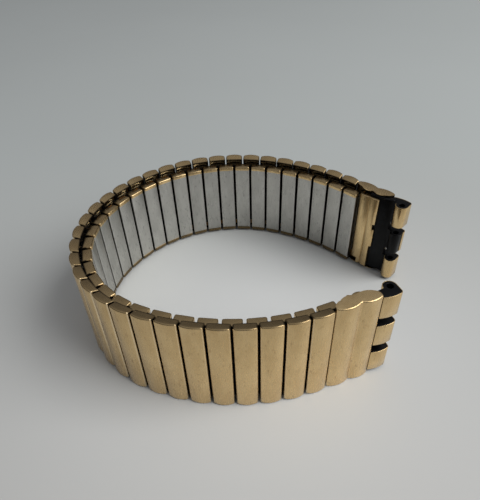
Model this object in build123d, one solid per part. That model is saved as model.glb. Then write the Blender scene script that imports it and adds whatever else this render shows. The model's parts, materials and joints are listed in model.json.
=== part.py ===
from build123d import *
import math
import os

# An expansion watch band: two layers of sleeve links, joined by U-shaped bows and
# closed by leaf springs, with an end link and a three-knuckle lug adapter at each end.
# It stands on its long edge, curled as it was left, with the mouth of the C towards +X.

# Driving sizes, in millimetres
band_width = 18.0
link_pitch = 3.585
layer_gap = 0.25

cover_gap = 0.17
cover_height = 1.65
crown_rise = 0.45
cover_end_slope = 0.5
cover_sheet = 0.15
cover_side_relief = 0.25

inner_link_gap = 0.6
inner_link_height = 1.45
inner_link_setback = 0.9
inner_link_drop = 0.5
sleeve_sheet = 0.12
sleeve_setback = 1.5
seat_gap = 0.02

cap_sheet = 0.2
cap_lip = 0.7
cap_lip_sheet = 0.1
cap_side = 0.6

bow_wire = 0.28
bow_leg = 5.3
swing_gap = 0.02

spring_sheet = 0.12
spring_rest = 3.6
spring_ramp = 1.6

end_length = 7.3
end_valley_room = 0.205
end_valley = 0.4
end_shell_sheet = 0.3
end_shell_depth = 0.2
end_sleeve_drop = 0.1

plate_sheet = 0.35
plate_short = 1.4
plate_rib = 0.25
plate_notch = 0.4
plate_notch_height = 1.2
plate_step_height = 5.2
plate_clip_notch = 1.3

knuckle_setback = 0.6
knuckle_space = 1.8
knuckle_radius = 1.05
knuckle_reach = 2.7
knuckle_nose = 0.95
knuckle_drop = 0.5
pin_radius = 0.55
wrap_sheet = 0.16
adapter_overhang = 0.35
adapter_thickness = 1.9

# How the band lies: in each run of the curl, how many pitches long it is and how many
# degrees each pitch turns, from the near end round the left to the far end. Then the
# heading at the start, and how far the end links open.
curl_counts = [8, 9, 11, 5]
curl_turn_angles = [5.84, 9.96, 7.8, 5.5]
start_angle = -158.9
near_opening_angle = 2.0
far_opening_angle = 5.0

# Outer links in each stretch of the band that moves as one, from the near end
stretch_counts = [2, 3, 2, 2, 3, 2, 2, 3, 2, 2, 3, 2, 2, 3]
overrun = 1.0

# Places across the band's thickness: y is 0 between the layers, and grows outwards
layer_face = layer_gap / 2
crown_y = layer_face + cover_height
shoulder_y = crown_y - crown_rise
wire_swing = bow_wire / math.sqrt(2) + swing_gap
leg_y = layer_face + sleeve_sheet + wire_swing
inner_face_y = layer_face + inner_link_height

cover_half = (link_pitch - cover_gap) / 2
cover_room_half = cover_half - cover_sheet
outer_sleeve_half = cover_room_half - seat_gap
outer_leg_x = outer_sleeve_half - sleeve_sheet - wire_swing

inner_half = (link_pitch - inner_link_gap) / 2
inner_leg_x = inner_half - sleeve_sheet - wire_swing

# The bow leans back at rest and as far forward when the band is drawn out
bow_lean_back = link_pitch / 2 - outer_leg_x - inner_leg_x
bow_span = math.hypot(bow_lean_back, 2 * leg_y)

# Places across the band's width. The inner links and the bows hang inner_link_drop
# lower than the outer links, by the play that they have in the covers.
cover_room_end = cover_end_slope + cover_sheet
cap_under = inner_link_setback + cap_sheet
web_outer_z = max(cap_under, cover_room_end + inner_link_drop) + swing_gap
web_inner_z = sleeve_setback - swing_gap
outer_sleeve_setback = sleeve_setback + inner_link_drop + seat_gap
knuckle_stack = band_width - 2 * knuckle_setback
knuckle_height = (knuckle_stack - 2 * knuckle_space) / 3

crown_radius = (cover_half ** 2 + crown_rise ** 2) / (2 * crown_rise)


def crown_room_y(x):
    """The inner side of the arched cover, at x from its middle."""
    return crown_y - crown_radius + math.sqrt((crown_radius - cover_sheet) ** 2 - x ** 2)


outer_sleeve_top = crown_room_y(outer_sleeve_half) - seat_gap


def block(x_span, y_span, z_span):
    """A box between two limits on each axis."""
    sizes = [high - low for low, high in (x_span, y_span, z_span)]
    centre = [(high + low) / 2 for low, high in (x_span, y_span, z_span)]
    return Pos(*centre) * Box(*sizes)


def along(points, half_width):
    """A prism from a closed outline in Y and Z, centred along the band."""
    outline = Plane.YZ * make_face(Polyline(*points, close=True))
    return extrude(outline, half_width, both=True)


def both_ends(piece):
    """A piece at one edge of the band, and its twin at the other edge."""
    return [piece, piece.mirror(Plane.XY.offset(band_width / 2))]


def arched_face(half, base, shoulder, crown):
    """The section of an outer link: a flat base and a low arched crown."""
    sides = Polyline((-half, shoulder), (-half, base), (half, base), (half, shoulder))
    arch = ThreePointArc((half, shoulder), (0, crown), (-half, shoulder))
    return make_face(sides + arch)


def outer_cover():
    """The gold cover of an outer link: an arched tray with closed ends, open below."""
    solid = extrude(arched_face(cover_half, layer_face, shoulder_y, crown_y), band_width)
    side_view = [(layer_face, cover_end_slope), (crown_y, 0),
                 (crown_y, band_width), (layer_face, band_width - cover_end_slope)]
    solid = solid & along(side_view, cover_half)
    room_face = arched_face(cover_room_half, layer_face - overrun,
                            crown_room_y(cover_room_half), crown_y - cover_sheet)
    room = extrude(Pos(0, 0, cover_room_end) * room_face, band_width - 2 * cover_room_end)
    relief = block((-cover_half - overrun, cover_half + overrun),
                   (layer_face - overrun, layer_face + cover_side_relief),
                   (cover_room_end, band_width - cover_room_end))
    return solid - room - relief


def tube(half, low, high, setback):
    """A flat folded sleeve, open at both edges of the band."""
    ends = (setback, band_width - setback)
    outside = block((-half, half), (low, high), ends)
    inside = block((sleeve_sheet - half, half - sleeve_sheet),
                   (low + sleeve_sheet, high - sleeve_sheet), (0, band_width))
    return outside - inside


def outer_sleeve():
    """The steel sleeve in a cover, which holds four bow legs and a leaf spring."""
    return tube(outer_sleeve_half, layer_face, outer_sleeve_top, outer_sleeve_setback)


def inner_sleeve():
    """The steel inner link, whose flat side lies on the wrist."""
    return tube(inner_half, -inner_face_y, -layer_face, sleeve_setback)


def leaf(half, low, high, setback):
    """A bent leaf spring: its ends lie on the bow legs, its middle on the far wall."""
    start, end = setback + seat_gap, band_width - setback - seat_gap
    lift = high - low - spring_sheet
    under = [(low, start), (low, start + spring_rest),
             (low + lift, start + spring_rest + spring_ramp),
             (low + lift, end - spring_rest - spring_ramp),
             (low, end - spring_rest), (low, end)]
    over = [(y + spring_sheet, z) for y, z in reversed(under)]
    return along(under + over, half)


def outer_leaf():
    """The leaf spring of an outer link."""
    return leaf(outer_sleeve_half - sleeve_sheet - seat_gap, leg_y + wire_swing,
                outer_sleeve_top - sleeve_sheet - seat_gap, outer_sleeve_setback)


def inner_leaf():
    """The leaf spring of an inner link, which faces the other way."""
    spring = leaf(inner_half - sleeve_sheet - seat_gap, leg_y + wire_swing,
                  inner_face_y - sleeve_sheet - seat_gap, sleeve_setback)
    return spring.mirror(Plane.XZ)


def edge_cap():
    """The gold cap on an inner link's lower edge, open towards the outer layer."""
    lip_y = -inner_face_y - cap_lip_sheet
    lip_low = inner_link_setback + cap_lip
    plate = block((-inner_half, inner_half), (lip_y, -layer_face), (inner_link_setback, cap_under))
    lip = block((-inner_half, inner_half), (lip_y, -inner_face_y), (inner_link_setback, lip_low))
    cap = plate + lip
    for side in (-1, 1):
        wall_x = sorted((side * inner_half, side * (inner_half - cap_lip_sheet)))
        cap += block(wall_x, (lip_y, cap_side - inner_face_y), (inner_link_setback, web_inner_z))
    return cap


def bow():
    """A U-shaped bow on the lower edge: its legs point up, bow_span apart along x."""
    half = bow_wire / 2
    leg_end = web_outer_z + bow_leg
    outline = [(-half, web_outer_z), (bow_span + half, web_outer_z), (bow_span + half, leg_end),
               (bow_span - half, leg_end), (bow_span - half, web_inner_z), (half, web_inner_z),
               (half, leg_end), (-half, leg_end)]
    return extrude(Plane.XZ * make_face(Polyline(*outline, close=True)), half, both=True)


# The end link and what it holds lie along +X from the middle of the last gap
end_start = cover_gap / 2
end_valley_x = link_pitch / 2 + outer_sleeve_half + end_valley_room
end_finish = end_length
end_sleeve_top = outer_sleeve_top - end_sleeve_drop
plate_start = inner_half + inner_link_gap / 2
tongue_start = end_valley_x + plate_sheet
tongue_low = -inner_face_y + plate_rib
tongue_high = tongue_low + adapter_thickness
pin_x = end_finish + knuckle_reach
pin_y = -knuckle_drop


def hump_line(inset):
    """The two arches of the end link's outer side, drawn in by a wall."""
    left, right = end_start + inset, end_finish - inset
    crown, valley = crown_y - inset, crown_y - end_valley - inset
    middles = [(left + end_valley_x) / 2, (end_valley_x + right) / 2]
    return [ThreePointArc((left, shoulder_y - inset), (middles[0], crown), (end_valley_x, valley)),
            ThreePointArc((end_valley_x, valley), (middles[1], crown), (right, shoulder_y - inset))]


def end_solid_face():
    """The end link's outer section, with its back stepped round the last inner link."""
    base = Polyline((end_finish, shoulder_y), (end_finish, -end_shell_depth),
                    (plate_start, -end_shell_depth), (plate_start, layer_face),
                    (end_start, layer_face), (end_start, shoulder_y))
    return make_face(hump_line(0) + [base])


def end_room_face():
    """The section of the end link's room, open at the back."""
    left, right = end_start + cover_sheet, end_finish - cover_sheet
    low = -end_shell_depth - overrun
    base = Polyline((right, shoulder_y - cover_sheet), (right, low), (left, low),
                    (left, shoulder_y - cover_sheet))
    return make_face(hump_line(cover_sheet) + [base])


def end_shell():
    """The gold shell of an end link: two arches, closed edges, an open mouth."""
    solid = extrude(end_solid_face(), band_width)
    room = extrude(Pos(0, 0, end_shell_sheet) * end_room_face(), band_width - 2 * end_shell_sheet)
    mouth = block((tongue_start, end_finish + overrun),
                  (-end_shell_depth - overrun, tongue_high + seat_gap),
                  (end_shell_sheet, band_width - end_shell_sheet))
    return solid - room - mouth


def end_sleeve():
    """The steel sleeve in the end link, a little lower than in an outer link."""
    sleeve = tube(outer_sleeve_half, layer_face, end_sleeve_top, outer_sleeve_setback)
    return Pos(link_pitch / 2, 0, 0) * sleeve


def end_leaf():
    """The leaf spring in the end link's sleeve."""
    spring = leaf(outer_sleeve_half - sleeve_sheet - seat_gap, leg_y + wire_swing,
                  end_sleeve_top - sleeve_sheet - seat_gap, outer_sleeve_setback)
    return Pos(link_pitch / 2, 0, 0) * spring


def back_plate():
    """The ribbed gold plate behind the end link, with the notches in its edges."""
    low, high = -inner_face_y, -inner_face_y + plate_sheet
    left, right = plate_start, end_finish - plate_short
    middle = (left + right) / 2
    quarter = (right - left) / 4
    ribs = [ThreePointArc((left, high), (left + quarter, low), (middle, high)),
            ThreePointArc((middle, high), (middle + quarter, low), (right, high))]
    top = high + plate_sheet
    back = Polyline((right, high), (right, top), (left, top), (left, high))
    edges = (inner_link_setback, band_width - inner_link_setback)
    plate = extrude(Pos(0, 0, edges[0]) * make_face(ribs + [back]), edges[1] - edges[0])
    plate += block((left, left + plate_sheet), (high, layer_face - seat_gap), edges)
    cut = (low - overrun, top + overrun)
    middle_z = band_width / 2 + plate_notch_height
    notch = block((right - plate_notch, right + overrun), cut,
                  (middle_z, middle_z + plate_notch_height))
    step = block((right - plate_notch, right + overrun), cut,
                 (edges[0] - overrun, edges[0] + plate_step_height))
    clip = block((left - overrun, left + plate_clip_notch), (low - overrun, layer_face),
                 (edges[0] - overrun, edges[0] + plate_notch_height))
    return plate - notch - step - clip


def knuckle_face(grow):
    """The section of a knuckle: flat outside, a nose at its tip, round inside."""
    outer_y = shoulder_y - wrap_sheet + grow
    nose_x = pin_x + knuckle_nose + grow
    radius = knuckle_radius + grow
    root = end_finish
    flat = Polyline((root, pin_y - radius), (root, outer_y), (nose_x, outer_y))
    nose = ThreePointArc((nose_x, outer_y), (pin_x + radius, pin_y), (pin_x, pin_y - radius))
    under = Line((pin_x, pin_y - radius), (root, pin_y - radius))
    return make_face([flat, nose, under])


def adapter():
    """The black adapter: a block in the end link's mouth and three drilled knuckles."""
    edge = end_shell_sheet + seat_gap
    body = block((tongue_start, end_finish + adapter_overhang), (plate_back_y, tongue_high),
                 (edge, band_width - edge))
    for index in range(3):
        low = knuckle_setback + index * (knuckle_height + knuckle_space)
        body += extrude(Pos(0, 0, low) * knuckle_face(0), knuckle_height)
    bore = Pos(pin_x, pin_y, band_width / 2) * Cylinder(pin_radius, band_width + overrun)
    return body - bore


plate_back_y = -inner_face_y + 2 * plate_sheet


def knuckle_wraps():
    """The gold wraps: round the outer knuckles, and on the middle one's outer side."""
    wraps = []
    for index in range(3):
        low = knuckle_setback + index * (knuckle_height + knuckle_space)
        ring = extrude(Pos(0, 0, low) * (knuckle_face(wrap_sheet) - knuckle_face(0)), knuckle_height)
        clear_x = end_finish + adapter_overhang + seat_gap
        floor_y = pin_y + knuckle_radius / 2 if index == 1 else pin_y - 2 * knuckle_radius
        wraps.append(ring & block((clear_x, pin_x + 2 * knuckle_radius),
                                  (floor_y, crown_y), (0, band_width)))
    return wraps


def band_frames():
    """Places and headings at each half pitch along the band, from gap to gap."""
    x, y, heading = 0, 0, start_angle
    frames = [(x, y, heading)]
    for pitches, turn in zip(curl_counts, curl_turn_angles):
        step_turn = turn / 2
        chord = link_pitch / 2 * math.sin(math.radians(step_turn / 2)) / math.radians(step_turn / 2)
        for _ in range(2 * pitches):
            middle = math.radians(heading - step_turn / 2)
            x, y = x + chord * math.cos(middle), y + chord * math.sin(middle)
            heading -= step_turn
            frames.append((x, y, heading))
    return frames


def frame_location(frame):
    """Where a link's own frame lies in the band: x along it, y outwards."""
    x, y, heading = frame
    return Location((x, y, 0), (0, 0, heading))


def point_in(frame, x, y):
    """A point of a link's frame, in the band's plan."""
    turn = math.radians(frame[2])
    return (frame[0] + x * math.cos(turn) - y * math.sin(turn),
            frame[1] + x * math.sin(turn) + y * math.cos(turn))


frames = band_frames()
link_count = sum(stretch_counts)
inner_frames = frames[0::2]
outer_frames = frames[1::2]


def outer_leg(index, side):
    """The leg in outer link index, or in an end link, on its near or far side."""
    if index < 0:
        return point_in(inner_frames[0], -inner_leg_x - bow_lean_back, leg_y)
    if index >= link_count:
        return point_in(inner_frames[-1], inner_leg_x + bow_lean_back, leg_y)
    return point_in(outer_frames[index], side * outer_leg_x, leg_y)


def inner_leg(index, side):
    """The leg in inner link index, on its near or far side."""
    return point_in(inner_frames[index], side * inner_leg_x, -leg_y)


def end_frame(leg, side, heading):
    """The frame of an end link that turns about its own bow leg."""
    back_x, back_y = point_in((0, 0, heading), side * (link_pitch / 2 - outer_leg_x), leg_y)
    return (leg[0] - back_x, leg[1] - back_y, heading)


near_end = end_frame(outer_leg(-1, 1), -1, start_angle - near_opening_angle)
far_end = end_frame(outer_leg(link_count, -1), 1, frames[-1][2] + far_opening_angle)
far_end_place = frame_location(far_end)

# The near end link is the same piece turned over, so that it points back
near_end_place = frame_location(near_end) * Location((0, 0, band_width), (0, 180, 0))

# Pieces that repeat are made once and placed many times
cover = outer_cover()
steel_sleeve = outer_sleeve()
spring = outer_leaf()
wrist_sleeve = inner_sleeve()
wrist_spring = inner_leaf()
caps = both_ends(edge_cap())
bows = [Pos(0, 0, -inner_link_drop) * piece for piece in both_ends(bow())]


def bow_pair(start, end):
    """The two bows, one at each edge of the band, between two leg centres."""
    heading = math.degrees(math.atan2(end[1] - start[1], end[0] - start[0]))
    place = Location((*start, 0), (0, 0, heading))
    return [place * piece for piece in bows]


nodes = {}
pivots = []

first = 0
for number, count in enumerate(stretch_counts, start=1):
    last = number == len(stretch_counts)
    outers = list(range(first, first + count))
    inners = outers + [first + count] if last else outers
    gold, steel, works = [], [], []
    for index in outers:
        place = frame_location(outer_frames[index])
        gold.append(place * cover)
        steel.append(place * steel_sleeve)
        works.append(place * spring)
    swings = number % 2 == 0
    for index in inners:
        place = frame_location(inner_frames[index]) * Pos(0, 0, -inner_link_drop)
        gold += [place * piece for piece in caps]
        steel.append(place * wrist_sleeve)
        works.append(place * wrist_spring)
        before = bow_pair(outer_leg(index - 1, 1), inner_leg(index, -1))
        if swings and index == first:
            nodes[f"swing_bows_{number:02d}"] = before
        else:
            works += before
        works += bow_pair(inner_leg(index, 1), outer_leg(index, -1))
    nodes[f"gold_covers_{number:02d}"] = gold
    nodes[f"steel_sleeves_{number:02d}"] = steel
    nodes[f"bows_and_springs_{number:02d}"] = works
    pivots.append((f"outer leg before stretch {number:02d}", outer_leg(first - 1, 1)))
    if swings:
        pivots.append((f"inner leg before stretch {number:02d}", inner_leg(first, -1)))
    first += count
pivots.append(("outer leg in the far end link", outer_leg(link_count, -1)))

for name, place in (("near", near_end_place), ("far", far_end_place)):
    nodes[f"{name}_end_shell"] = [place * end_shell()]
    nodes[f"{name}_end_sleeve"] = [place * end_sleeve(), place * end_leaf()]
    nodes[f"{name}_back_plate"] = [place * back_plate()]
    nodes[f"{name}_lug_adapter"] = [place * adapter()]
    nodes[f"{name}_knuckle_wraps"] = [place * piece for piece in knuckle_wraps()]

# The origin is the middle of the footprint, on the surface that the band stands on
box = Compound([solid for group in nodes.values() for solid in group]).bounding_box()
shift = Location((-box.center().X, -box.center().Y, 0))

os.makedirs("parts", exist_ok=True)
for name, group in nodes.items():
    export_step(Compound([shift * solid for solid in group]), f"parts/{name}.step")

print("bow span", round(bow_span, 4), "lean", round(math.degrees(math.asin(-bow_lean_back / bow_span)), 3))
print("size", round(box.size.X, 3), round(box.size.Y, 3), round(box.size.Z, 3))
print("plan of the near end", round(-box.center().X, 4), round(-box.center().Y, 4))
for name, (x, y) in pivots:
    print(name, round(x - box.center().X, 4), round(y - box.center().Y, 4))
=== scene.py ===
import bpy
import json
import math
from mathutils import Matrix, Vector


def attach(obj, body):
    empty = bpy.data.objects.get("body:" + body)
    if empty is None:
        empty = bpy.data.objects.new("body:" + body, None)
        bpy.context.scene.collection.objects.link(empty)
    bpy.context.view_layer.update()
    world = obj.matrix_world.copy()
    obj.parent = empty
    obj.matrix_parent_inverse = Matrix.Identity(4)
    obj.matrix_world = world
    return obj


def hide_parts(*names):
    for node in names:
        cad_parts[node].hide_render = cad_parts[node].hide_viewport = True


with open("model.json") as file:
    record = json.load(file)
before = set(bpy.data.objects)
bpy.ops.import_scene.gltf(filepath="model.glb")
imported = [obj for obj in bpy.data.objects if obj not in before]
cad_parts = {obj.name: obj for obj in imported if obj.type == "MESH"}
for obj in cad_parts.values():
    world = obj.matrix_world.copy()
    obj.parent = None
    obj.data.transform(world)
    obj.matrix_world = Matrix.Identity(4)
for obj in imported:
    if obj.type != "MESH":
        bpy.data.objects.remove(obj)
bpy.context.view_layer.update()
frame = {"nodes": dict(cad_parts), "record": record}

scene = bpy.context.scene
mm = 0.001

# Desk. A pale lacquered desk top, matt and faintly uneven, with a painted light tint that is
# warmer at the front and cooler in grey towards the back, and a painted pool of light that
# makes it paler inside the loop. The band stands on it by its lower long edge.
desk_size = 4.0
desk_drop = 0.02 * mm
front_y, back_y = -0.05, 0.06


def mix_colours(tree, factor, first, second, blend="MIX"):
    """A colour mix whose factor and ends are sockets or plain values."""
    node = tree.nodes.new("ShaderNodeMix")
    node.data_type = "RGBA"
    node.blend_type = blend
    for socket, value in (("Factor", factor), ("A", first), ("B", second)):
        if isinstance(value, tuple):
            node.inputs[socket].default_value = (*value, 1)
        elif isinstance(value, float):
            node.inputs[socket].default_value = value
        else:
            tree.links.new(value, node.inputs[socket])
    return node.outputs["Result"]


def span(tree, value, low, high, to_low=0.0, to_high=1.0):
    """Maps a range of a value to another range."""
    node = tree.nodes.new("ShaderNodeMapRange")
    for socket, number in (("From Min", low), ("From Max", high),
                           ("To Min", to_low), ("To Max", to_high)):
        node.inputs[socket].default_value = number
    tree.links.new(value, node.inputs["Value"])
    return node.outputs["Result"]


bpy.ops.object.select_all(action="DESELECT")
bpy.ops.mesh.primitive_plane_add(size=desk_size, location=(0, 0, -desk_drop))
desk = bpy.context.object
desk.name = "desk_top"
lacquer = bpy.data.materials.new("pale_desk_with_painted_light")
lacquer.use_nodes = True
tree = lacquer.node_tree
shader = tree.nodes["Principled BSDF"]
place = tree.nodes.new("ShaderNodeTexCoord")
cloud = tree.nodes.new("ShaderNodeTexNoise")
cloud.inputs["Scale"].default_value = 9.0
cloud.inputs["Detail"].default_value = 3.0
tree.links.new(place.outputs["Object"], cloud.inputs["Vector"])
tint = mix_colours(tree, cloud.outputs["Fac"], (0.44, 0.445, 0.44), (0.48, 0.485, 0.48))
desk_split = tree.nodes.new("ShaderNodeSeparateXYZ")
tree.links.new(place.outputs["Object"], desk_split.inputs["Vector"])
# Painted light: the desk is tinted warmer at the front and cooler towards the back.
painted_light_tint = mix_colours(tree, span(tree, desk_split.outputs["Y"], front_y, back_y),
                   (0.985, 0.965, 0.935), (0.965, 1.01, 1.00))
tint = mix_colours(tree, 1.0, tint, painted_light_tint, blend="MULTIPLY")
# Painted pool of light: a soft pale patch on the desk inside the loop.
light_pool_place = tree.nodes.new("ShaderNodeMapping")
light_pool_place.vector_type = "TEXTURE"
light_pool_place.inputs["Location"].default_value = (0.0, -0.012, 0.0)
light_pool_place.inputs["Scale"].default_value = (0.085, 0.07, 1.0)
tree.links.new(place.outputs["Object"], light_pool_place.inputs["Vector"])
painted_light_pool = tree.nodes.new("ShaderNodeTexGradient")
painted_light_pool.gradient_type = "QUADRATIC_SPHERE"
tree.links.new(light_pool_place.outputs["Vector"], painted_light_pool.inputs["Vector"])
tint = mix_colours(tree, painted_light_pool.outputs["Fac"], tint, (0.70, 0.71, 0.70))
tree.links.new(tint, shader.inputs["Base Color"])
shader.inputs["Roughness"].default_value = 0.5
desk.data.materials.append(lacquer)

# Studio. A large soft window light on the right, and a room that is dim near the
# horizon and lighter overhead. Seen past the desk, its wall is an even pale grey.
lamp_place = (0.52, -0.16, 0.54)
lamp_aim = Vector((0, 0, 0.01))
lamp_side = 0.55
lamp_watts = 5.6
room_greys = ((0.25, 0.13), (0.7, 0.29))
blue_share = 1.04

room = bpy.data.worlds.new("soft_room")
room.use_nodes = True
scene.world = room
tree = room.node_tree
sky_place = tree.nodes.new("ShaderNodeTexCoord")
sky_split = tree.nodes.new("ShaderNodeSeparateXYZ")
tree.links.new(sky_place.outputs["Generated"], sky_split.inputs["Vector"])
sky_ramp = tree.nodes.new("ShaderNodeValToRGB")
sky_ramp.color_ramp.elements[0].position = 0.0
sky_ramp.color_ramp.elements[0].color = (0.08, 0.08, 0.084, 1)
sky_ramp.color_ramp.elements[1].position = 1.0
sky_ramp.color_ramp.elements[1].color = (0.50, 0.51, 0.53, 1)
for height, grey in room_greys:
    stop = sky_ramp.color_ramp.elements.new(height)
    stop.color = (grey, grey, blue_share * grey, 1)
tree.links.new(sky_split.outputs["Z"], sky_ramp.inputs["Fac"])
seen = tree.nodes.new("ShaderNodeLightPath")
wall = mix_colours(tree, seen.outputs["Is Camera Ray"], sky_ramp.outputs["Color"],
                   (0.52, 0.53, 0.54))
background = tree.nodes["Background"]
tree.links.new(wall, background.inputs["Color"])
background.inputs["Strength"].default_value = 1.0
bpy.ops.object.light_add(type="AREA", location=lamp_place)
lamp = bpy.context.object
lamp.name = "window_light"
lamp.data.size = lamp_side
lamp.data.energy = lamp_watts
lamp.rotation_euler = (lamp_aim - lamp.location).to_track_quat("-Z", "Y").to_euler()
scene.view_settings.view_transform = "Standard"

# Viewpoint. The camera stands in front of the band and looks down on it, as the one
# that took the photograph did. Its place and lens were fitted to corners of the links.
camera_place = (-1.468 * mm, -65.284 * mm, 65.1 * mm)
look_down = 39.4
camera_roll = -2.2

bpy.ops.object.camera_add(location=camera_place)
camera = bpy.context.object
camera.name = "viewpoint"
camera.rotation_euler = (math.radians(90 - look_down), 0, 0)
camera.rotation_euler.rotate_axis("Z", math.radians(camera_roll))
camera.data.sensor_width = 36.0
camera.data.lens = 33.18
camera.data.clip_start = 0.001
scene.camera = camera

# Outer link covers. Each is a tray folded from gold-tone sheet, with a low arched crown
# and closed ends, pressed over a steel sleeve. They lie side by side round the band.
band_width = 18.0 * mm
pitch = 3.585 * mm
layer_face = 0.125 * mm
crown_y = 1.775 * mm
crown_steps = 12
shoulder_y = 1.42 * mm
cover_half = 1.7075 * mm
cover_end_slope = 0.5 * mm
cover_sheet = 0.15 * mm
cover_corner = 0.24 * mm
cover_end_round = 0.26 * mm
side_edge_y = 0.375 * mm
end_wall = 0.65 * mm
square_on = 0.9
end_zone = 2 * mm
hair = 0.01 * mm
wide = 3 * mm


def arc_through(start, middle, end, steps):
    """Points on the circle through three points, from the first to the last."""
    (ax, ay), (bx, by), (cx, cy) = start, middle, end
    area = 2 * (ax * (by - cy) + bx * (cy - ay) + cx * (ay - by))
    a, b, c = ax * ax + ay * ay, bx * bx + by * by, cx * cx + cy * cy
    centre = ((a * (by - cy) + b * (cy - ay) + c * (ay - by)) / area,
              (a * (cx - bx) + b * (ax - cx) + c * (bx - ax)) / area)
    radius = math.dist(start, centre)
    first = math.atan2(ay - centre[1], ax - centre[0])
    turn = (math.atan2(cy - centre[1], cx - centre[0]) - first) % (2 * math.pi)
    if area < 0:
        turn -= 2 * math.pi
    angles = [first + turn * step / steps for step in range(steps + 1)]
    return [(centre[0] + radius * math.cos(angle), centre[1] + radius * math.sin(angle))
            for angle in angles]


def pick(*pieces):
    """Selects some pieces alone and makes the first of them active."""
    bpy.ops.object.select_all(action="DESELECT")
    for piece in pieces:
        piece.select_set(True)
    bpy.context.view_layer.objects.active = pieces[0]


def drawn_bar(name, outline, low, high):
    """A disc whose rim is pulled onto an outline, counterclockwise, then extruded upwards."""
    bpy.ops.object.select_all(action="DESELECT")
    bpy.ops.mesh.primitive_circle_add(vertices=len(outline), radius=mm, fill_type="NGON")
    bar = bpy.context.object
    bar.name = name
    for vertex, (x, y) in zip(bar.data.vertices, outline):
        vertex.co = (x, y, low)
    bpy.ops.object.mode_set(mode="EDIT")
    bpy.ops.mesh.select_all(action="SELECT")
    bpy.ops.mesh.extrude_region_move(TRANSFORM_OT_translate={"value": (0, 0, high - low)})
    bpy.ops.mesh.select_all(action="SELECT")
    bpy.ops.mesh.normals_make_consistent(inside=False)
    bpy.ops.object.mode_set(mode="OBJECT")
    return bar


def drop_faces(piece, wanted):
    """Deletes the faces that a test on centre and normal picks."""
    pick(piece)
    bpy.ops.object.mode_set(mode="EDIT")
    bpy.ops.mesh.select_all(action="DESELECT")
    bpy.ops.mesh.select_mode(type="FACE")
    bpy.ops.object.mode_set(mode="OBJECT")
    for face in piece.data.polygons:
        face.select = bool(wanted(face.center, face.normal))
    bpy.ops.object.mode_set(mode="EDIT")
    bpy.ops.mesh.delete(type="FACE")
    bpy.ops.object.mode_set(mode="OBJECT")


def soften(piece, width, segments, wanted):
    """Bevels the edges that a test on their two ends picks."""
    pick(piece)
    bpy.ops.object.mode_set(mode="EDIT")
    bpy.ops.mesh.select_mode(type="EDGE")
    bpy.ops.mesh.select_all(action="DESELECT")
    bpy.ops.object.mode_set(mode="OBJECT")
    for edge in piece.data.edges:
        ends = [piece.data.vertices[i].co for i in edge.vertices]
        edge.select = bool(wanted(*ends))
    bpy.ops.object.mode_set(mode="EDIT")
    bpy.ops.mesh.bevel(offset=width, segments=segments, affect="EDGES")
    bpy.ops.object.mode_set(mode="OBJECT")


def apply_new(piece, kind, **settings):
    """Adds one modifier with its settings and applies it."""
    pick(piece)
    modifier = piece.modifiers.new(kind.lower(), kind)
    for key, value in settings.items():
        setattr(modifier, key, value)
    bpy.ops.object.modifier_apply(modifier=modifier.name)


def thicken(piece, sheet, side=-1):
    """Gives a folded outline the thickness of its sheet, inwards unless side is 1."""
    apply_new(piece, "SOLIDIFY", thickness=sheet, offset=side, use_even_offset=True)


def rounded(piece, width, segments=3, angle=30):
    """Breaks the sharp edges of a piece with a small radius."""
    apply_new(piece, "BEVEL", width=width, segments=segments, limit_method="ANGLE",
              angle_limit=math.radians(angle), miter_outer="MITER_ARC")


def cut_out(piece, cutter):
    """Cuts one piece out of another and removes it."""
    apply_new(piece, "BOOLEAN", operation="DIFFERENCE", object=cutter, solver="EXACT")
    bpy.data.objects.remove(cutter)


def cut_away(piece, low, high):
    """Cuts a box out of a piece."""
    bpy.ops.object.select_all(action="DESELECT")
    bpy.ops.mesh.primitive_cube_add(size=1, location=[(a + b) / 2 for a, b in zip(low, high)])
    cutter = bpy.context.object
    cutter.scale = [b - a for a, b in zip(low, high)]
    bpy.ops.object.transform_apply(location=True, rotation=False, scale=True)
    cut_out(piece, cutter)


def smoothed(piece, angle=35):
    """Shades curved faces smooth and keeps real creases."""
    pick(piece)
    bpy.ops.object.shade_smooth_by_angle(angle=math.radians(angle))


def across(a, b):
    """Whether an edge runs across the band, from one of its long edges to the other."""
    return abs(a.z - b.z) > band_width / 2


def on_one_end(a, b):
    """Whether an edge lies in one of the band's two long edges."""
    return max(a.z, b.z) < end_zone or min(a.z, b.z) > band_width - end_zone


cover_outline = [(-cover_half, layer_face), (cover_half, layer_face)]
cover_outline += arc_through((cover_half, shoulder_y), (0, crown_y), (-cover_half, shoulder_y),
                             crown_steps)
cover = drawn_bar("outer_cover", cover_outline, 0, band_width)
for vertex in cover.data.vertices:
    inward = cover_end_slope * (crown_y - vertex.co.y) / (crown_y - layer_face)
    vertex.co.z += inward if vertex.co.z < band_width / 2 else -inward
drop_faces(cover, lambda centre, normal: normal.y < -square_on)
soften(cover, cover_corner, 4, lambda a, b: across(a, b) and abs(a.y - shoulder_y) < hair)
soften(cover, cover_end_round, 4, on_one_end)
thicken(cover, cover_sheet)
cut_away(cover, (-wide, -wide, end_wall), (wide, side_edge_y, band_width - end_wall))
smoothed(cover)

# Where the links lie. The band is curled in four runs, each with its own turn per
# pitch, and starts from the bow leg in the near end link.
curl_counts = [8, 9, 11, 5]
curl_turn_angles = [5.84, 9.96, 7.8, 5.5]
start_angle = -158.9
links_in_stretch = [2, 3, 2, 2, 3, 2, 2, 3, 2, 2, 3, 2, 2, 3]
inner_link_drop = 0.5 * mm
outer_leg_x = 1.1995 * mm
inner_leg_x = 1.1545 * mm
leg_y = 0.4630 * mm
lean = pitch / 2 - outer_leg_x - inner_leg_x
tone_steps = (12.9898, 78.233, 43758.5453)
hinges = {joint["name"]: joint for joint in frame["record"]["behaviour"]["joints"]}


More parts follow.
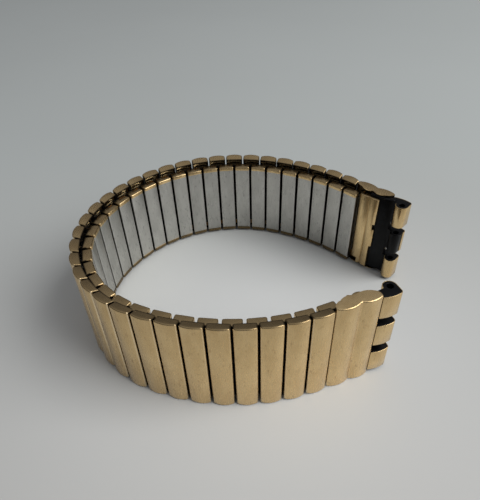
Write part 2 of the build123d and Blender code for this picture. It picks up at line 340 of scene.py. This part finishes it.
def in_plan(origin, x, y):
    """A point of a link's own frame, in the plan of the whole band."""
    turn = math.radians(origin[2])
    return (origin[0] + x * math.cos(turn) - y * math.sin(turn),
            origin[1] + x * math.sin(turn) + y * math.cos(turn))


first_leg = hinges["bend_01"]["pos_m"]
away = in_plan((0, 0, start_angle), -inner_leg_x - lean, leg_y)
x, y, heading = first_leg[0] - away[0], first_leg[1] - away[1], start_angle
stations = [(x, y, heading)]
for pitches, turn in zip(curl_counts, curl_turn_angles):
    half_turn = math.radians(turn / 4)
    chord = pitch / 2 * math.sin(half_turn) / half_turn
    for _ in range(2 * pitches):
        middle = math.radians(heading - turn / 4)
        x, y = x + chord * math.cos(middle), y + chord * math.sin(middle)
        heading -= turn / 2
        stations.append((x, y, heading))
inner_stations, outer_stations = stations[0::2], stations[1::2]


def stretches():
    """For each stretch its number, first link, and where its outer and inner links end."""
    first = 0
    for number, count in enumerate(links_in_stretch, start=1):
        last = first + count
        yield number, first, last, last + (number == len(links_in_stretch))
        first = last


def at(station, drop=0):
    """The matrix that puts a link's own frame at its station."""
    turn = Matrix.Rotation(math.radians(station[2]), 4, "Z")
    return Matrix.Translation((station[0], station[1], -drop)) @ turn


def gather(name, pieces_and_places, body, *cad_nodes):
    """Copies pieces to their places, each with its own tone, and joins them into one."""
    by_copy, by_name, scatter = tone_steps
    copies = []
    for number, (piece, matrix) in enumerate(pieces_and_places, start=1):
        copy = bpy.data.objects.new(name, piece.data.copy())
        scene.collection.objects.link(copy)
        tone = copy.data.attributes.new("tone", "FLOAT", "POINT")
        value = math.sin(by_copy * number + by_name * sum(map(ord, name))) * scatter % 1
        tone.data.foreach_set("value", [value] * len(copy.data.vertices))
        local = copy.data.attributes.new("local_place", "FLOAT_VECTOR", "POINT")
        local.data.foreach_set("vector", [c / mm for v in copy.data.vertices for c in v.co])
        copy.data.transform(matrix)
        copies.append(copy)
    pick(*copies)
    if len(copies) > 1:
        bpy.ops.object.join()
    whole = bpy.context.view_layer.objects.active
    whole.name = name
    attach(whole, body)
    if cad_nodes:
        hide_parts(*cad_nodes)
    return whole


# The sheet metal is worn: fine brush lines along each link, soft smudges from handling,
# small dull spots and paler rubbed edges, which are partly wear and partly a painted
# highlight. Near-black painted shade fills the gaps between the links, the folds round
# their end faces and the edge of those faces beside the gap, and a brown painted shade
# darkens those faces and the lowest parts.
end_from, end_slope = 0.5, 3.5
fold_from, fold_slope = 0.6, 8.0
flat_from, flat_slope = 0.94, 12.0
fold_shade = 0.45
side_shade, side_slope = 1.3, 6.0
unshaded_slope = 3.5
gap_slope = 5.0
end_gap_margin = 0.55
low_height, low_slope = 1.5 * mm, 3000.0
rub_highlight_slope, rub_highlight_face_slope = 5.5, 8.0


def math_node(tree, operation, first, second=None, clamp=False):
    """A math node whose inputs are sockets or plain numbers."""
    node = tree.nodes.new("ShaderNodeMath")
    node.operation = operation
    node.use_clamp = clamp
    for slot, value in enumerate((first, second)):
        if isinstance(value, (int, float)):
            node.inputs[slot].default_value = value
        elif value is not None:
            tree.links.new(value, node.inputs[slot])
    return node.outputs["Value"]


sheet_wear_and_light = bpy.data.node_groups.new("sheet_metal_wear_and_painted_light", "ShaderNodeTree")
for name in ("Half Width", "Middle", "Unshaded Depth", "Gap Depth", "Face Depth", "End Brown Shade",
             "Low Brown Shade"):
    sheet_wear_and_light.interface.new_socket(name, in_out="INPUT", socket_type="NodeSocketFloat")
for name in ("Lines", "Smudges", "Spots", "Painted Shade", "Rub And Highlight", "Brown Shade"):
    sheet_wear_and_light.interface.new_socket(name, in_out="OUTPUT", socket_type="NodeSocketFloat")
wear_in = sheet_wear_and_light.nodes.new("NodeGroupInput")
wear_out = sheet_wear_and_light.nodes.new("NodeGroupOutput")


def wear_math(operation, first, second=None, clamp=False):
    """A math node of the wear group."""
    return math_node(sheet_wear_and_light, operation, first, second, clamp)


def wear_rise(value, start, slope):
    """A mask that is 0 below a start and rises by a slope above it, up to 1."""
    return wear_math("MULTIPLY", wear_math("SUBTRACT", value, start), slope, clamp=True)


def wear_parts(vector):
    """The outputs of a vector's split into X, Y and Z."""
    node = sheet_wear_and_light.nodes.new("ShaderNodeSeparateXYZ")
    sheet_wear_and_light.links.new(vector, node.inputs["Vector"])
    return node.outputs


local = sheet_wear_and_light.nodes.new("ShaderNodeAttribute")
local.attribute_name = "local_place"
tone = sheet_wear_and_light.nodes.new("ShaderNodeAttribute")
tone.attribute_name = "tone"
spread = sheet_wear_and_light.nodes.new("ShaderNodeVectorMath")
spread.operation = "MULTIPLY_ADD"
spread.inputs[1].default_value = (40.0, 57.0, 83.0)
sheet_wear_and_light.links.new(tone.outputs["Fac"], spread.inputs[0])
sheet_wear_and_light.links.new(local.outputs["Vector"], spread.inputs[2])
for socket, scale, stretch, detail in (("Lines", 7.0, (1, 1, 0.06), 4.0),
                                       ("Smudges", 0.5, (1, 1, 0.4), 3.0),
                                       ("Spots", 2.6, (1, 1, 0.35), 3.0)):
    mapping = sheet_wear_and_light.nodes.new("ShaderNodeMapping")
    mapping.inputs["Scale"].default_value = stretch
    sheet_wear_and_light.links.new(spread.outputs["Vector"], mapping.inputs["Vector"])
    noise = sheet_wear_and_light.nodes.new("ShaderNodeTexNoise")
    noise.inputs["Scale"].default_value = scale
    noise.inputs["Detail"].default_value = detail
    sheet_wear_and_light.links.new(mapping.outputs["Vector"], noise.inputs["Vector"])
    sheet_wear_and_light.links.new(noise.outputs["Fac"], wear_out.inputs[socket])

whole = sheet_wear_and_light.nodes.new("ShaderNodeTexCoord")
in_link = wear_parts(local.outputs["Vector"])
facing = wear_parts(whole.outputs["Normal"])
standing = wear_parts(whole.outputs["Object"])
upper = wear_math("SIGN", wear_math("SUBTRACT", standing["Z"], band_width / 2))
end_facing = wear_math("MULTIPLY", upper, facing["Z"])
end_face = wear_rise(end_facing, end_from, end_slope)
not_end = wear_math("SUBTRACT", 1.0, end_face)
off_middle = wear_math("ABSOLUTE", wear_math("SUBTRACT", in_link["X"], wear_in.outputs["Middle"]))
depth = wear_math("ABSOLUTE", in_link["Y"])
from_side = wear_math("SUBTRACT", wear_in.outputs["Half Width"], off_middle)

# Near-black painted shade: on the link sides in the gaps between links, in the folds round the end
# faces, and on end faces beside the gap.
fade = wear_math("ADD", side_slope, wear_math("MULTIPLY", not_end, side_slope))
on_side = wear_math("SUBTRACT", side_shade, wear_math("MULTIPLY", from_side, fade), clamp=True)
below = wear_rise(wear_in.outputs["Unshaded Depth"], depth, unshaded_slope)
between = wear_math("MULTIPLY", wear_rise(wear_in.outputs["Gap Depth"], depth, gap_slope), not_end)
sides = wear_math("MAXIMUM", wear_math("MULTIPLY", on_side, below), between)
in_fold = wear_rise(end_facing, fold_from, fold_slope)
off_flat = wear_math("MULTIPLY", wear_math("SUBTRACT", flat_from, end_facing), flat_slope,
                     clamp=True)
rim = wear_math("MULTIPLY", wear_math("MULTIPLY", in_fold, off_flat), fold_shade)
end_gap = wear_math("SUBTRACT", wear_in.outputs["Gap Depth"], end_gap_margin)
at_gap = wear_rise(end_gap, depth, gap_slope)
ends = wear_math("MAXIMUM", rim, wear_math("MULTIPLY", at_gap, end_face))
sheet_wear_and_light.links.new(wear_math("MAXIMUM", sides, ends), wear_out.inputs["Painted Shade"])

# Brown painted shade: a painted dark reflection on the end faces, and painted contact shade on the
# lowest parts beside the desk.
low_down = wear_math("MULTIPLY", wear_math("SUBTRACT", low_height, standing["Z"]), low_slope,
                     clamp=True)
end_face_shade = wear_math("MULTIPLY", end_face, wear_in.outputs["End Brown Shade"])
low_part_shade = wear_math("MULTIPLY", low_down, wear_in.outputs["Low Brown Shade"])
sheet_wear_and_light.links.new(wear_math("MAXIMUM", end_face_shade, low_part_shade), wear_out.inputs["Brown Shade"])

# Paler rubbed edges along the sides of the outer face: partly wear, partly a painted highlight.
near_side = wear_math("SUBTRACT", 1.0, wear_math("MULTIPLY", from_side, rub_highlight_slope), clamp=True)
near_face = wear_rise(depth, wear_in.outputs["Face Depth"], rub_highlight_face_slope)
sheet_wear_and_light.links.new(wear_math("MULTIPLY", near_side, near_face), wear_out.inputs["Rub And Highlight"])

# The fourth tone of each set is the rubbed edge tone, partly a painted highlight.
gold_tones = ((0.74, 0.545, 0.285), (0.64, 0.455, 0.225), (0.54, 0.375, 0.19),
              (0.86, 0.73, 0.52))
# Painted shade colours: a brown for end faces and low parts, and a near-black for gaps and folds.
painted_brown_shade = (0.12, 0.085, 0.045)
painted_shade_black = (0.008, 0.0065, 0.0055)
painted_shade_roughness = 0.6


def worn_metal_with_painted_light(name, tones, shine, dull, line_height, half, middle, unshaded_depth, gap, face,
               end_brown_shade=0.0, low_brown_shade=0.0):
    """Worn sheet metal in a light, a dark, a spot and a rubbed tone, the last partly a
    painted highlight, for a piece of a half width, a middle and depths in millimetres,
    with painted shade in its gaps, folds, end faces and low parts."""
    light, dark, spot, rubbed_highlight = tones
    material = bpy.data.materials.new(name)
    material.use_nodes = True
    tree = material.node_tree
    shader = tree.nodes["Principled BSDF"]
    shader.inputs["Metallic"].default_value = 1.0
    wear = tree.nodes.new("ShaderNodeGroup")
    wear.node_tree = sheet_wear_and_light
    for socket, number in (("Half Width", half), ("Middle", middle), ("Unshaded Depth", unshaded_depth),
                           ("Gap Depth", gap), ("Face Depth", face),
                           ("End Brown Shade", end_brown_shade), ("Low Brown Shade", low_brown_shade)):
        wear.inputs[socket].default_value = number
    colour = mix_colours(tree, span(tree, wear.outputs["Smudges"], 0.35, 0.68), light, dark)
    colour = mix_colours(tree, span(tree, wear.outputs["Spots"], 0.60, 0.74), colour, spot)
    colour = mix_colours(tree, wear.outputs["Rub And Highlight"], colour, rubbed_highlight)
    colour = mix_colours(tree, wear.outputs["Brown Shade"], colour, painted_brown_shade)
    colour = mix_colours(tree, wear.outputs["Painted Shade"], colour, painted_shade_black)
    tree.links.new(colour, shader.inputs["Base Color"])
    polish = span(tree, wear.outputs["Lines"], 0.3, 0.7, shine, dull)
    shaded_roughness = math_node(tree, "MULTIPLY", wear.outputs["Painted Shade"], painted_shade_roughness)
    tree.links.new(math_node(tree, "MAXIMUM", polish, shaded_roughness), shader.inputs["Roughness"])
    bump = tree.nodes.new("ShaderNodeBump")
    bump.inputs["Strength"].default_value = 0.15
    bump.inputs["Distance"].default_value = line_height
    tree.links.new(wear.outputs["Lines"], bump.inputs["Height"])
    tree.links.new(bump.outputs["Normal"], shader.inputs["Normal"])
    return material


# The covers get painted shade, near-black in the gaps and folds and brown on the end faces, and a
# painted highlight on their side edges.
cover.data.materials.append(worn_metal_with_painted_light(
    "worn_gold_covers", gold_tones, shine=0.24, dull=0.31, line_height=0.0012 * mm,
    half=1.7075, middle=0.0, unshaded_depth=1.30, gap=0.9, face=1.10, end_brown_shade=0.45))
for number, first, last, _ in stretches():
    places = [(cover, at(station)) for station in outer_stations[first:last]]
    covers = gather(f"outer_covers_{number:02d}", places, f"stretch_{number:02d}",
                    f"gold_covers_{number:02d}")
bpy.data.objects.remove(cover)

# Inner link caps. A small gold-tone cap closes each edge of every inner link, with
# rounded corners and a short bright lip over the steel face.
inner_half = 1.4925 * mm
inner_face_y = 1.575 * mm
lip_y = 1.675 * mm
setback = 0.9 * mm
cap_lip = 0.7 * mm
cap_top_y = -0.03 * mm
cap_sheet = 0.1 * mm
cap_corner = 0.28 * mm
cap_end_round = 0.2 * mm
side_lip_y, side_lip_end = 0.975 * mm, setback + 0.21 * mm
face_lip_y, face_lip_end = 1.574 * mm, setback + 0.58 * mm

cap_outline = [(-inner_half, -lip_y), (inner_half, -lip_y), (inner_half, cap_top_y),
               (-inner_half, cap_top_y)]
cap = drawn_bar("edge_cap", cap_outline, setback, setback + cap_lip)
drop_faces(cap, lambda centre, normal: normal.z > square_on or normal.y > square_on)
soften(cap, cap_corner, 4,
       lambda a, b: abs(a.z - b.z) > cap_lip / 2 and a.y < -inner_face_y)
soften(cap, cap_end_round, 4, lambda a, b: max(a.z, b.z) < setback + hair)
thicken(cap, cap_sheet)
cut_away(cap, (-wide, -side_lip_y, side_lip_end), (wide, wide, wide))
cut_away(cap, (-wide, -face_lip_y, face_lip_end), (wide, wide, wide))
smoothed(cap)
# The caps' lower lips get a strong brown painted shade, and their gaps a near-black one.
cap.data.materials.append(worn_metal_with_painted_light(
    "worn_gold_caps", gold_tones, shine=0.22, dull=0.34, line_height=0.0015 * mm,
    half=1.4925, middle=0.0, unshaded_depth=0.95, gap=0.9, face=1.62, end_brown_shade=0.45,
    low_brown_shade=0.9))
turned_up = Matrix.Translation((0, 0, band_width)) @ Matrix.Rotation(math.radians(180), 4, "Y")
for number, first, _, last in stretches():
    places = []
    for station in inner_stations[first:last]:
        low_place = at(station, inner_link_drop)
        places += [(cap, low_place), (cap, low_place @ turned_up)]
    caps = gather(f"edge_caps_{number:02d}", places, f"stretch_{number:02d}",
                  f"gold_covers_{number:02d}")
bpy.data.objects.remove(cap)

# Sleeves. Each link has a flat tube folded from steel sheet. The inner ones show their
# satin face to the wrist, and the outer ones are hidden in their covers.
sleeve_sheet = 0.12 * mm
inner_sleeve_end = 1.5 * mm
inner_sleeve_corner = 0.16 * mm
outer_sleeve_half = 1.5375 * mm
outer_sleeve_top = 1.22 * mm
outer_sleeve_end = 2.02 * mm
outer_sleeve_corner = 0.1 * mm
# The fourth steel tone is the rubbed edge tone, partly a painted highlight.
steel_tones = ((0.50, 0.49, 0.455), (0.42, 0.41, 0.38), (0.31, 0.30, 0.28),
               (0.60, 0.59, 0.56))


def sleeve(name, half, low, high, end, corner, unshaded_depth, gap):
    """A flat tube of steel sheet, open at both edges of the band."""
    outline = [(-half, low), (half, low), (half, high), (-half, high)]
    tube = drawn_bar(name, outline, end, band_width - end)
    drop_faces(tube, lambda centre, normal: abs(normal.z) > square_on)
    rounded(tube, corner)
    thicken(tube, sleeve_sheet)
    smoothed(tube)
    # The sleeves get near-black painted shade in the gaps between the links.
    tube.data.materials.append(worn_metal_with_painted_light(
        f"brushed_steel_{name}", steel_tones, shine=0.25, dull=0.40,
        line_height=0.0025 * mm, half=half / mm, middle=0.0, unshaded_depth=unshaded_depth, gap=gap, face=1.45))
    return tube


wrist_sleeve, open_sleeve = (
    sleeve(name, inner_half, -inner_face_y, -layer_face, inner_sleeve_end,
           inner_sleeve_corner, unshaded_depth, gap)
    for name, unshaded_depth, gap in (("inner_sleeve", 1.42, 0.9), ("last_inner_sleeve", 0.0, 0.2)))
cover_sleeve = sleeve("outer_sleeve", outer_sleeve_half, layer_face, outer_sleeve_top,
                      outer_sleeve_end, outer_sleeve_corner, 1.6, 0.9)
for number, first, outer_last, inner_last in stretches():
    places = [(wrist_sleeve if 0 < index < len(inner_stations) - 1 else open_sleeve,
               at(inner_stations[index], inner_link_drop)) for index in range(first, inner_last)]
    places += [(cover_sleeve, at(station)) for station in outer_stations[first:outer_last]]
    sleeves = gather(f"link_sleeves_{number:02d}", places, f"stretch_{number:02d}",
                     f"steel_sleeves_{number:02d}")
for tube in (wrist_sleeve, open_sleeve, cover_sleeve):
    bpy.data.objects.remove(tube)

# Bows and springs. U-shaped bows of bright spring steel cross between the layers at
# both edges, and bent leaf springs press on their legs inside the sleeves. Their own
# meshes show, and so do the end links' sleeves. Their steel is coloured dark with a fine
# grain, as painted shade for the narrow gaps where they sit.
spring_steel = bpy.data.materials.new("spring_steel")
spring_steel.use_nodes = True
tree = spring_steel.node_tree
shader = tree.nodes["Principled BSDF"]
shader.inputs["Metallic"].default_value = 1.0
grain_place = tree.nodes.new("ShaderNodeTexCoord")
grain = tree.nodes.new("ShaderNodeTexNoise")
grain.inputs["Scale"].default_value = 2500.0
tree.links.new(grain_place.outputs["Object"], grain.inputs["Vector"])
# Painted shade: the steel's base colour is made dark.
steel_mix = mix_colours(tree, grain.outputs["Fac"], (0.34, 0.33, 0.30), (0.14, 0.13, 0.11))
tree.links.new(steel_mix, shader.inputs["Base Color"])
tree.links.new(span(tree, grain.outputs["Fac"], 0.0, 1.0, 0.18, 0.4), shader.inputs["Roughness"])
for name, node in frame["nodes"].items():
    if "bows" in name or name.endswith("end_sleeve"):
        node.data.materials.clear()
        node.data.materials.append(spring_steel)

# End shells. Each end of the band has a gold-tone shell of two arches, drawn from sheet,
# with closed ends of a waisted outline. Its mouth holds the adapter.
end_start = 0.085 * mm
end_valley_x = 4.15 * mm
end_finish = 7.72 * mm
end_half = (end_finish - end_start) / 2
end_shoulder = 1.25 * mm
end_crowns_y = (crown_y - 0.03 * mm, crown_y + 0.05 * mm)
valley_y = 1.3 * mm
lobe_y = 0.8 * mm
shell_sheet = 0.15 * mm
shell_corner, shell_valley, shell_end_round = 0.28 * mm, 0.16 * mm, 0.22 * mm
mouth_wall = 0.3 * mm
mouth_gap = 0.02 * mm
mouth_end = 9 * mm
tongue_start = 3.885 * mm
tongue_high = 0.575 * mm
near_opening, far_opening = 2.0, 5.0

shell_outline = [(end_start, lobe_y), (0.52 * mm, 0.26 * mm), (1.1 * mm, -0.08 * mm),
                 (1.4 * mm, -0.1 * mm)]
shell_outline += arc_through(shell_outline[-1], (2.5 * mm, -0.6 * mm),
                             (3.95 * mm, -0.3 * mm), 6)[1:]
shell_outline += arc_through(shell_outline[-1], (5.5 * mm, -0.62 * mm),
                             (6.95 * mm, -0.1 * mm), 6)[1:]
shell_outline += [(7.3 * mm, 0.16 * mm), (end_finish, lobe_y)]
shell_outline += arc_through((end_finish, end_shoulder),
                             ((end_valley_x + end_finish) / 2, end_crowns_y[0]),
                             (end_valley_x, valley_y), crown_steps)
shell_outline += arc_through((end_valley_x, valley_y),
                             ((end_start + end_valley_x) / 2, end_crowns_y[1]),
                             (end_start, end_shoulder), crown_steps)[1:]
shell = drawn_bar("end_shell", shell_outline, 0, band_width)
drop_faces(shell, lambda centre, normal: abs(normal.z) < 0.5 and centre.y < lobe_y)
soften(shell, shell_corner, 4, lambda a, b: across(a, b) and abs(a.y - end_shoulder) < hair)
soften(shell, shell_valley, 3, lambda a, b: across(a, b) and abs(a.x - end_valley_x) < hair)
soften(shell, shell_end_round, 5,
       lambda a, b: on_one_end(a, b) and (a.y + b.y) / 2 > lobe_y + hair / 2)
thicken(shell, shell_sheet)
cut_away(shell, (tongue_start, -wide, mouth_wall),
         (mouth_end, tongue_high + mouth_gap, band_width - mouth_wall))
smoothed(shell)
# The shells get near-black painted shade in their gaps and folds.
shell.data.materials.append(worn_metal_with_painted_light(
    "worn_gold_end_shells", gold_tones, shine=0.22, dull=0.33, line_height=0.0016 * mm,
    half=end_half / mm, middle=(end_start + end_half) / mm, unshaded_depth=1.20, gap=0.5, face=1.10))

end_places = {}
for side, joint, heading, way in (
        ("near", "bend_01", start_angle - near_opening, -1),
        ("far", "bend_15", inner_stations[-1][2] + far_opening, 1)):
    leg = hinges[joint]["pos_m"]
    back = in_plan((0, 0, heading), way * (pitch / 2 - outer_leg_x), leg_y)
    end_places[side] = at((leg[0] - back[0], leg[1] - back[1], heading))
end_places["near"] = end_places["near"] @ turned_up


def fit_to_both_ends(piece, name):
    """Places a piece of the end link at both ends of the band."""
    for side, place in end_places.items():
        whole = gather(f"{side}_{name}_piece", [(piece, place)], f"{side}_end", f"{side}_{name}")
    bpy.data.objects.remove(piece)


fit_to_both_ends(shell, "end_shell")

# Back plates. A ribbed gold-tone plate closes the back of each end link, notched at the
# mouth where it is staked to the adapter, and folded down beside the last inner link.
plate_side = 2.02 * mm
plate_finish = 5.9 * mm
plate_middle = (plate_side + plate_finish) / 2
plate_high = -1.225 * mm
plate_back = -0.875 * mm
plate_fold = 0.35 * mm
plate_fold_top = 0.105 * mm
plate_end = 0.9 * mm
plate_round = 0.09 * mm
rib_steps = 8
notch_start = plate_finish - 0.4 * mm
notches = ((10.2 * mm, 11.4 * mm), (0, 6.1 * mm))
past_plate = 7 * mm
below_plate, above_plate = -2 * mm, mm
plate_step_x, plate_step_z = plate_side + 1.3 * mm, 2.1 * mm

plate_outline = arc_through((plate_side, plate_high),
                            ((plate_side + plate_middle) / 2, -inner_face_y),
                            (plate_middle, plate_high), rib_steps)
plate_outline += arc_through((plate_middle, plate_high),
                             ((plate_middle + plate_finish) / 2, -inner_face_y),
                             (plate_finish, plate_high), rib_steps)[1:]
plate_outline += [(plate_finish, plate_back), (plate_side + plate_fold, plate_back),
                  (plate_side + plate_fold, plate_fold_top), (plate_side, plate_fold_top)]
plate = drawn_bar("back_plate", plate_outline, plate_end, band_width - plate_end)
for low, high in notches:
    cut_away(plate, (notch_start, below_plate, low), (past_plate, above_plate, high))
cut_away(plate, (mm, below_plate, 0), (plate_step_x, above_plate, plate_step_z))
rounded(plate, plate_round, 2, 38)
smoothed(plate)
# The plates' end faces get a brown painted shade, and their gaps and folds a near-black one.
plate.data.materials.append(worn_metal_with_painted_light(
    "worn_gold_back_plates", gold_tones, shine=0.24, dull=0.36, line_height=0.002 * mm,
    half=1.94, middle=3.96, unshaded_depth=0.30, gap=0.3, face=1.30, end_brown_shade=0.3))
fit_to_both_ends(plate, "back_plate")

# Lug adapters. A black block sits in the mouth of each end link and carries three
# drilled knuckles, through which the watch case's spring bar runs.
pin = (10.0 * mm, -0.5 * mm)
bore_radius = 0.55 * mm
bore_sides = 32
knuckle_radius = 1.05 * mm
knuckle_diagonal = 0.742 * mm
knuckle_top = 1.165 * mm
knuckle_height = 4.4 * mm
knuckle_lows = [0.6 * mm, 6.8 * mm, 13.0 * mm]
knuckle_root = (7.5 * mm, -0.3 * mm)
knuckle_round = 0.09 * mm
block_bend_x, block_end = 7.4 * mm, 8.45 * mm
block_bend_y = -0.35 * mm
block_low, block_high = 0.9 * mm, 17.68 * mm
block_round = 0.12 * mm
wrap_start = end_finish + 0.04 * mm

inner_round = arc_through((pin[0] - knuckle_radius, pin[1]),
                          (pin[0] - knuckle_diagonal, pin[1] - knuckle_diagonal),
                          (pin[0], pin[1] - knuckle_radius), 6)
inner_round += arc_through(inner_round[-1],
                           (pin[0] + knuckle_diagonal, pin[1] - knuckle_diagonal),
                           (pin[0] + knuckle_radius, pin[1]), 6)[1:]
outer_round = arc_through((pin[0] + knuckle_radius, 0.8 * mm), (10.96 * mm, 1.1 * mm),
                          (10.7 * mm, 1.27 * mm), 5)
outer_round += arc_through(outer_round[-1], (9.4 * mm, 1.42 * mm),
                           (wrap_start, knuckle_top), 8)[1:]
block_outline = [(tongue_start, plate_back), (block_bend_x, plate_back),
                 (block_end, block_bend_y), (block_end, tongue_high),
                 (tongue_start, tongue_high)]
block = drawn_bar("adapter_block", block_outline, block_low, block_high)
rounded(block, block_round)
blocks = [block]
knuckle_outline = [knuckle_root, *inner_round, *outer_round, (knuckle_root[0], knuckle_top)]
for low in knuckle_lows:
    knuckle = drawn_bar("knuckle", knuckle_outline, low, low + knuckle_height)
    bpy.ops.object.select_all(action="DESELECT")
    bpy.ops.mesh.primitive_cylinder_add(vertices=bore_sides, radius=bore_radius,
                                        depth=2 * knuckle_height,
                                        location=(*pin, low + knuckle_height / 2))
    drill = bpy.context.object
    bpy.ops.object.transform_apply(location=True, rotation=False, scale=False)
    cut_out(knuckle, drill)
    rounded(knuckle, knuckle_round)
    blocks.append(knuckle)
pick(*blocks)
bpy.ops.object.join()
smoothed(block)
black_moulding = bpy.data.materials.new("black_adapter_moulding")
black_moulding.use_nodes = True
tree = black_moulding.node_tree
shader = tree.nodes["Principled BSDF"]
shader.inputs["Specular IOR Level"].default_value = 0.16
mould_place = tree.nodes.new("ShaderNodeTexCoord")
mould_grain, scuffs = (tree.nodes.new("ShaderNodeTexNoise") for _ in range(2))
for noise, scale, detail in ((mould_grain, 1400.0, 4.0), (scuffs, 420.0, 5.0)):
    noise.inputs["Scale"].default_value = scale
    noise.inputs["Detail"].default_value = detail
    tree.links.new(mould_place.outputs["Object"], noise.inputs["Vector"])
black_mix = mix_colours(tree, span(tree, scuffs.outputs["Fac"], 0.56, 0.75),
                        (0.0015, 0.0016, 0.002), (0.008, 0.009, 0.011))
tree.links.new(black_mix, shader.inputs["Base Color"])
tree.links.new(span(tree, scuffs.outputs["Fac"], 0.35, 0.7, 0.28, 0.5),
               shader.inputs["Roughness"])
bump = tree.nodes.new("ShaderNodeBump")
bump.inputs["Strength"].default_value = 0.4
bump.inputs["Distance"].default_value = 0.01 * mm
tree.links.new(mould_grain.outputs["Fac"], bump.inputs["Height"])
tree.links.new(bump.outputs["Normal"], shader.inputs["Normal"])
block.data.materials.append(black_moulding)
fit_to_both_ends(block, "lug_adapter")

# Knuckle wraps. Gold-tone sheet is rolled round the two outer knuckles, and a short
# piece covers the outer side of the middle one.
wrap_sheet = 0.12 * mm
wrap_round = 0.05 * mm
short_wrap_start = (pin[0] + knuckle_radius, 0.15 * mm)

wraps = []
for index, low in enumerate(knuckle_lows):
    rim = ([short_wrap_start] if index == 1 else inner_round) + outer_round
    wrap = drawn_bar("wrap", rim, low, low + knuckle_height)
    open_side = [(a + b) / 2 for a, b in zip(rim[0], rim[-1])]
    drop_faces(wrap, lambda centre, normal: abs(normal.z) > square_on
               or math.dist(centre.xy, open_side) < hair)
    thicken(wrap, wrap_sheet, 1)
    rounded(wrap, wrap_round, 2, 50)
    smoothed(wrap)
    wraps.append(wrap)
pick(*wraps)
bpy.ops.object.join()
wraps[0].data.materials.append(worn_metal_with_painted_light(
    "worn_gold_wraps", gold_tones, shine=0.20, dull=0.31, line_height=0.0014 * mm,
    half=1.75, middle=9.42, unshaded_depth=0.0, gap=0.0, face=5.0))
fit_to_both_ends(wraps[0], "knuckle_wraps")
